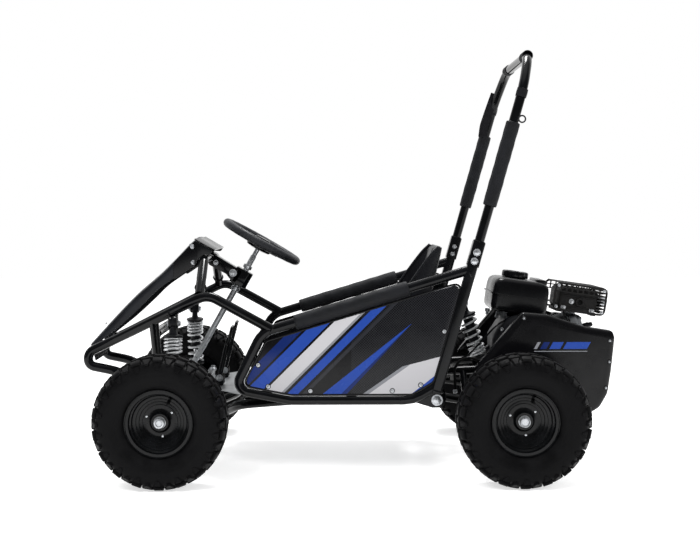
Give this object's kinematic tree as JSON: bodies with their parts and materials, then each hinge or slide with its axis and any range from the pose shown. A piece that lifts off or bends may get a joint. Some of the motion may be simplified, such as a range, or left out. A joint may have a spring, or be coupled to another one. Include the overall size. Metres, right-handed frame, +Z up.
{
  "type": "off road go kart",
  "caption": "Single-seat off-road go kart for a child: tube frame with roll bar, sprung front arms, rear swing arm with a small engine, knobbly tyres and side panels.",
  "frame": {"origin": "middle of the bounding box in X and Y, on the ground at Z = 0", "axes": "+X to the rear of the kart, +Y to the driver's right, +Z up"},
  "size_m": [1.4274, 0.877, 1.0927],
  "materials": {
    "black_plastic": "semi-gloss black moulded plastic",
    "cowl_plastic": "dark grey moulded plastic, fine grain",
    "dark_metal": "satin black baked paint",
    "engine_metal": "raw cast alloy, as-cast grain",
    "floor_sheet": "plain rolled sheet, satin",
    "frame_paint": "gloss black paint over steel tube, a little orange peel",
    "pad_foam": "closed-cell foam with a smooth skin",
    "panel_face": "gloss film over a plastic sheet, blue, silver and black",
    "plain_steel": "bright turned or ground steel",
    "rim_paint": "gloss black pressed steel",
    "seat_plastic": "black moulded plastic with a padded cover",
    "spring_steel": "bright plated spring wire",
    "tyre_rubber": "black rubber, satin with light dust",
    "wheel_grip": "soft black grip over a steel ring"
  },
  "bodies": {
    "chassis": {"side_frame_left": "frame_paint", "side_frame_right": "frame_paint", "front_tower": "frame_paint", "floor_frame": "frame_paint", "rear_frame": "frame_paint", "floor_pan": "floor_sheet", "side_panel_left": "panel_face", "side_panel_right": "panel_face", "seat": "seat_plastic", "nose_panel": "cowl_plastic", "dash_frame": "frame_paint", "roll_bar": "frame_paint", "rail_pad_left": "pad_foam", "rail_pad_right": "pad_foam", "roll_pad_left": "pad_foam", "roll_pad_right": "pad_foam", "pivot_bolt": "plain_steel"},
    "steering": {"steering_column": "frame_paint", "steering_wheel": "wheel_grip"},
    "swing": {"swing_arm": "frame_paint", "chain": "dark_metal", "brake_caliper": "dark_metal", "engine": "engine_metal", "fuel_tank": "black_plastic", "muffler": "dark_metal", "recoil_housing": "black_plastic", "recoil_handle": "black_plastic", "air_cleaner": "black_plastic", "tail_panel_left": "black_plastic", "tail_panel_right": "black_plastic"},
    "rear_damper_body": {"rear_shock_body": "dark_metal", "rear_spring": "spring_steel"},
    "rear_damper_rod": {"rear_shock_rod": "plain_steel"},
    "live_axle": {"rear_axle": "plain_steel", "sprocket": "plain_steel", "brake_disc": "plain_steel", "rim_rear_left": "rim_paint", "rim_rear_right": "rim_paint", "tyre_rear_left": "tyre_rubber", "tyre_rear_right": "tyre_rubber"},
    "drum": {"clutch": "plain_steel"},
    "filler_cap": {"fuel_cap": "black_plastic"},
    "throttle": {"throttle_pedal": "frame_paint"},
    "brake": {"brake_pedal": "frame_paint"},
    "arm_left": {"front_arm_left": "frame_paint"},
    "hub_left": {"knuckle_left": "frame_paint"},
    "link_left": {"tie_rod_left": "plain_steel"},
    "wheel_left": {"rim_front_left": "rim_paint", "tyre_front_left": "tyre_rubber"},
    "damper_body_left": {"front_shock_body_left": "dark_metal", "front_spring_left": "spring_steel"},
    "damper_rod_left": {"front_shock_rod_left": "plain_steel"},
    "arm_right": {"front_arm_right": "frame_paint"},
    "hub_right": {"knuckle_right": "frame_paint"},
    "link_right": {"tie_rod_right": "plain_steel"},
    "wheel_right": {"rim_front_right": "rim_paint", "tyre_front_right": "tyre_rubber"},
    "damper_body_right": {"front_shock_body_right": "dark_metal", "front_spring_right": "spring_steel"},
    "damper_rod_right": {"front_shock_rod_right": "plain_steel"}
  },
  "joints": [
    {"name": "steer", "type": "hinge", "parent": "chassis", "child": "steering", "pos_m": [-0.4302, 0, 0.269], "axis": [0.4924, 0, 0.8704], "range_deg": [-30, 30]},
    {"name": "arm_left_swing", "type": "hinge", "parent": "chassis", "child": "arm_left", "pos_m": [-0.4722, -0.1, 0.165], "axis": [-1, 0, 0], "range_deg": [-5, 5]},
    {"name": "kingpin_left", "type": "hinge", "parent": "arm_left", "child": "hub_left", "pos_m": [-0.4722, -0.315, 0.165], "axis": [0, 0, 1], "range_deg": [-15, 15]},
    {"name": "wheel_left_spin", "type": "hinge", "parent": "hub_left", "child": "wheel_left", "pos_m": [-0.4722, -0.375, 0.165], "axis": [0, 1, 0], "continuous": true},
    {"name": "link_left_turn", "type": "hinge", "parent": "hub_left", "child": "link_left", "pos_m": [-0.4102, -0.292, 0.2054], "axis": [0, 0, 1], "range_deg": [-17, 17]},
    {"name": "damper_left_tilt", "type": "hinge", "parent": "chassis", "child": "damper_body_left", "pos_m": [-0.4582, -0.24, 0.393], "axis": [-1, 0, 0], "range_deg": [-1, 1]},
    {"name": "damper_left_stroke", "type": "slide", "parent": "damper_body_left", "child": "damper_rod_left", "axis": [0, 0.115, 0.9934], "range_m": [-0.015, 0.015], "deforming": ["front_spring_left"]},
    {"name": "arm_right_swing", "type": "hinge", "parent": "chassis", "child": "arm_right", "pos_m": [-0.4722, 0.1, 0.165], "axis": [1, 0, 0], "range_deg": [-5, 5]},
    {"name": "kingpin_right", "type": "hinge", "parent": "arm_right", "child": "hub_right", "pos_m": [-0.4722, 0.315, 0.165], "axis": [0, 0, 1], "range_deg": [-15, 15]},
    {"name": "wheel_right_spin", "type": "hinge", "parent": "hub_right", "child": "wheel_right", "pos_m": [-0.4722, 0.375, 0.165], "axis": [0, 1, 0], "continuous": true},
    {"name": "link_right_turn", "type": "hinge", "parent": "hub_right", "child": "link_right", "pos_m": [-0.4102, 0.292, 0.2054], "axis": [0, 0, 1], "range_deg": [-17, 17]},
    {"name": "damper_right_tilt", "type": "hinge", "parent": "chassis", "child": "damper_body_right", "pos_m": [-0.4582, 0.24, 0.393], "axis": [1, 0, 0], "range_deg": [-1, 1]},
    {"name": "damper_right_stroke", "type": "slide", "parent": "damper_body_right", "child": "damper_rod_right", "axis": [0, -0.115, 0.9934], "range_m": [-0.015, 0.015], "deforming": ["front_spring_right"]},
    {"name": "swing", "type": "hinge", "parent": "chassis", "child": "swing", "pos_m": [0.2178, 0, 0.197], "axis": [0, -1, 0], "range_deg": [-5, 5]},
    {"name": "rear_damper_tilt", "type": "hinge", "parent": "chassis", "child": "rear_damper_body", "pos_m": [0.3148, 0, 0.426], "axis": [0, -1, 0], "range_deg": [-1, 1]},
    {"name": "rear_damper_stroke", "type": "slide", "parent": "rear_damper_body", "child": "rear_damper_rod", "axis": [-0.2813, 0, 0.9596], "range_m": [-0.0145, 0.0145], "deforming": ["rear_spring"]},
    {"name": "axle_spin", "type": "hinge", "parent": "swing", "child": "live_axle", "pos_m": [0.4208, 0, 0.165], "axis": [0, 1, 0], "continuous": true},
    {"name": "drum_spin", "type": "hinge", "parent": "swing", "child": "drum", "pos_m": [0.46747, 0.14, 0.31895], "axis": [0, 1, 0], "continuous": true},
    {"name": "filler_cap_turn", "type": "hinge", "parent": "swing", "child": "filler_cap", "pos_m": [0.45473, -0.02, 0.50857], "axis": [0.1392, 0, 0.9903], "range_deg": [0, 90]},
    {"name": "brake_press", "type": "hinge", "parent": "chassis", "child": "brake", "pos_m": [-0.3542, -0.078, 0.232], "axis": [0, -1, 0], "range_deg": [0, 15], "stiffness_Nm_per_rad": 4, "springref_deg": -5.73},
    {"name": "throttle_press", "type": "hinge", "parent": "chassis", "child": "throttle", "pos_m": [-0.3542, 0.078, 0.232], "axis": [0, -1, 0], "range_deg": [0, 15], "stiffness_Nm_per_rad": 4, "springref_deg": -5.73}
  ],
  "couplings": [
    {"joint": "kingpin_left", "follows": "steer", "ratio": 0.5},
    {"joint": "link_left_turn", "follows": "steer", "ratio": -0.556},
    {"joint": "damper_left_tilt", "follows": "arm_left_swing", "ratio": -0.0999},
    {"joint": "damper_left_stroke", "follows": "arm_left_swing", "m_per_rad": 0.1653},
    {"joint": "kingpin_right", "follows": "steer", "ratio": 0.5},
    {"joint": "link_right_turn", "follows": "steer", "ratio": -0.556},
    {"joint": "damper_right_tilt", "follows": "arm_right_swing", "ratio": -0.0999},
    {"joint": "damper_right_stroke", "follows": "arm_right_swing", "m_per_rad": 0.1653},
    {"joint": "rear_damper_tilt", "follows": "swing", "ratio": -0.0615},
    {"joint": "rear_damper_stroke", "follows": "swing", "m_per_rad": 0.1575},
    {"joint": "drum_spin", "follows": "axle_spin", "ratio": 3.6}
  ]
}
